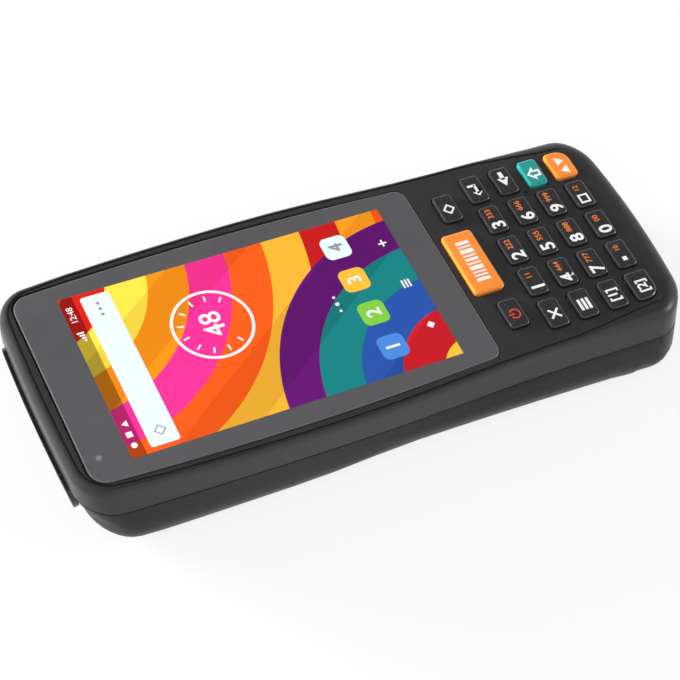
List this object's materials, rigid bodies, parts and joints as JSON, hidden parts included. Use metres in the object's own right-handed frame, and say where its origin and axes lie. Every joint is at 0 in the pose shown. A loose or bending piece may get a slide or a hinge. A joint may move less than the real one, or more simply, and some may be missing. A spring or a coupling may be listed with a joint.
{
  "type": "portable barcode data terminal",
  "caption": "Hand-held scanning terminal with a touch display above a sprung keypad, a two-part housing, a scan window on the end, a port flap and a rear battery cover.",
  "frame": {"origin": "centre of the overall box in X and Y, on the plane that the terminal lies on, display up", "axes": "+X to the right of someone reading the display, +Y towards the scan window, +Z out of the display"},
  "size_m": [0.0706, 0.1729, 0.026],
  "materials": {
    "front_plastic": "fine matt texture",
    "rear_plastic": "fine matt texture",
    "seal_rubber": "matt",
    "screw_steel": "satin",
    "insert_brass": "satin",
    "touch_glass": "gloss, printed border behind",
    "adhesive_foam": "matt",
    "display_stack": "gloss",
    "frame_metal": "satin",
    "circuit_board": "satin",
    "sheet_metal": "satin",
    "dome_metal": "polished",
    "silicone": "matt",
    "bezel_plastic": "semi-gloss",
    "window_red": "gloss",
    "engine_plastic": "matt",
    "battery_case": "satin",
    "contact_metal": "polished",
    "ring_metal": "satin",
    "camera_glass": "gloss",
    "flash_lens": "frosted",
    "flap_rubber": "matt",
    "dark_key": "satin",
    "orange_key": "satin",
    "teal_key": "satin"
  },
  "bodies": {
    "terminal": {"front_housing": "front_plastic", "rear_housing": "rear_plastic", "housing_seal": "seal_rubber", "housing_screws": "screw_steel", "threaded_inserts": "insert_brass", "touch_glass": "touch_glass", "glass_adhesive": "adhesive_foam", "display_module": "display_stack", "mid_frame": "frame_metal", "main_board": "circuit_board", "board_shields": "sheet_metal", "card_socket": "sheet_metal", "microphone": "sheet_metal", "keypad_board": "circuit_board", "keypad_domes": "dome_metal", "keypad_mat": "silicone", "scan_bezel": "bezel_plastic", "scan_window": "window_red", "scan_engine": "engine_plastic", "engine_bracket": "sheet_metal", "battery_pack": "battery_case", "battery_contacts": "contact_metal", "speaker": "engine_plastic", "rear_camera": "engine_plastic", "camera_ring": "ring_metal", "camera_window": "camera_glass", "flash_window": "flash_lens", "usb_socket": "sheet_metal", "usb_board": "circuit_board", "vibration_motor": "sheet_metal"},
    "cover": {"battery_cover": "rear_plastic", "cover_screws": "screw_steel"},
    "usb_flap": {"usb_flap": "flap_rubber"},
    "key_power": {"key_power": "dark_key"},
    "key_scan": {"key_scan": "orange_key"},
    "key_shortcut": {"key_shortcut": "dark_key"},
    "key_function_2": {"key_function_2": "dark_key"},
    "key_star": {"key_star": "dark_key"},
    "key_0": {"key_0": "dark_key"},
    "key_hash": {"key_hash": "dark_key"},
    "key_case": {"key_case": "orange_key"},
    "key_function_1": {"key_function_1": "dark_key"},
    "key_7": {"key_7": "dark_key"},
    "key_8": {"key_8": "dark_key"},
    "key_9": {"key_9": "dark_key"},
    "key_shift": {"key_shift": "teal_key"},
    "key_menu": {"key_menu": "dark_key"},
    "key_4": {"key_4": "dark_key"},
    "key_5": {"key_5": "dark_key"},
    "key_6": {"key_6": "dark_key"},
    "key_arrow": {"key_arrow": "dark_key"},
    "key_escape": {"key_escape": "dark_key"},
    "key_1": {"key_1": "dark_key"},
    "key_2": {"key_2": "dark_key"},
    "key_3": {"key_3": "dark_key"},
    "key_enter": {"key_enter": "dark_key"}
  },
  "joints": [
    {"name": "key_power_press", "type": "slide", "parent": "terminal", "child": "key_power", "axis": [0, 0, -1], "range_m": [0, 0.0007], "stiffness_N_per_m": 1000},
    {"name": "key_scan_press", "type": "slide", "parent": "terminal", "child": "key_scan", "axis": [0, 0, -1], "range_m": [0, 0.0007], "stiffness_N_per_m": 1000},
    {"name": "key_shortcut_press", "type": "slide", "parent": "terminal", "child": "key_shortcut", "axis": [0, 0, -1], "range_m": [0, 0.0007], "stiffness_N_per_m": 1000},
    {"name": "key_function_2_press", "type": "slide", "parent": "terminal", "child": "key_function_2", "axis": [0, 0, -1], "range_m": [0, 0.0007], "stiffness_N_per_m": 1000},
    {"name": "key_star_press", "type": "slide", "parent": "terminal", "child": "key_star", "axis": [0, 0, -1], "range_m": [0, 0.0007], "stiffness_N_per_m": 1000},
    {"name": "key_0_press", "type": "slide", "parent": "terminal", "child": "key_0", "axis": [0, 0, -1], "range_m": [0, 0.0007], "stiffness_N_per_m": 1000},
    {"name": "key_hash_press", "type": "slide", "parent": "terminal", "child": "key_hash", "axis": [0, 0, -1], "range_m": [0, 0.0007], "stiffness_N_per_m": 1000},
    {"name": "key_case_press", "type": "slide", "parent": "terminal", "child": "key_case", "axis": [0, 0, -1], "range_m": [0, 0.0007], "stiffness_N_per_m": 1000},
    {"name": "key_function_1_press", "type": "slide", "parent": "terminal", "child": "key_function_1", "axis": [0, 0, -1], "range_m": [0, 0.0007], "stiffness_N_per_m": 1000},
    {"name": "key_7_press", "type": "slide", "parent": "terminal", "child": "key_7", "axis": [0, 0, -1], "range_m": [0, 0.0007], "stiffness_N_per_m": 1000},
    {"name": "key_8_press", "type": "slide", "parent": "terminal", "child": "key_8", "axis": [0, 0, -1], "range_m": [0, 0.0007], "stiffness_N_per_m": 1000},
    {"name": "key_9_press", "type": "slide", "parent": "terminal", "child": "key_9", "axis": [0, 0, -1], "range_m": [0, 0.0007], "stiffness_N_per_m": 1000},
    {"name": "key_shift_press", "type": "slide", "parent": "terminal", "child": "key_shift", "axis": [0, 0, -1], "range_m": [0, 0.0007], "stiffness_N_per_m": 1000},
    {"name": "key_menu_press", "type": "slide", "parent": "terminal", "child": "key_menu", "axis": [0, 0, -1], "range_m": [0, 0.0007], "stiffness_N_per_m": 1000},
    {"name": "key_4_press", "type": "slide", "parent": "terminal", "child": "key_4", "axis": [0, 0, -1], "range_m": [0, 0.0007], "stiffness_N_per_m": 1000},
    {"name": "key_5_press", "type": "slide", "parent": "terminal", "child": "key_5", "axis": [0, 0, -1], "range_m": [0, 0.0007], "stiffness_N_per_m": 1000},
    {"name": "key_6_press", "type": "slide", "parent": "terminal", "child": "key_6", "axis": [0, 0, -1], "range_m": [0, 0.0007], "stiffness_N_per_m": 1000},
    {"name": "key_arrow_press", "type": "slide", "parent": "terminal", "child": "key_arrow", "axis": [0, 0, -1], "range_m": [0, 0.0007], "stiffness_N_per_m": 1000},
    {"name": "key_escape_press", "type": "slide", "parent": "terminal", "child": "key_escape", "axis": [0, 0, -1], "range_m": [0, 0.0007], "stiffness_N_per_m": 1000},
    {"name": "key_1_press", "type": "slide", "parent": "terminal", "child": "key_1", "axis": [0, 0, -1], "range_m": [0, 0.0007], "stiffness_N_per_m": 1000},
    {"name": "key_2_press", "type": "slide", "parent": "terminal", "child": "key_2", "axis": [0, 0, -1], "range_m": [0, 0.0007], "stiffness_N_per_m": 1000},
    {"name": "key_3_press", "type": "slide", "parent": "terminal", "child": "key_3", "axis": [0, 0, -1], "range_m": [0, 0.0007], "stiffness_N_per_m": 1000},
    {"name": "key_enter_press", "type": "slide", "parent": "terminal", "child": "key_enter", "axis": [0, 0, -1], "range_m": [0, 0.0007], "stiffness_N_per_m": 1000},
    {"name": "battery_cover_lift", "type": "slide", "parent": "terminal", "child": "cover", "axis": [0, 0, -1], "range_m": [0, 0.02]},
    {"name": "usb_flap_swing", "type": "hinge", "parent": "terminal", "child": "usb_flap", "pos_m": [0, -0.08501, 0.01105], "axis": [1, 0, 0], "range_deg": [0, 90]}
  ]
}
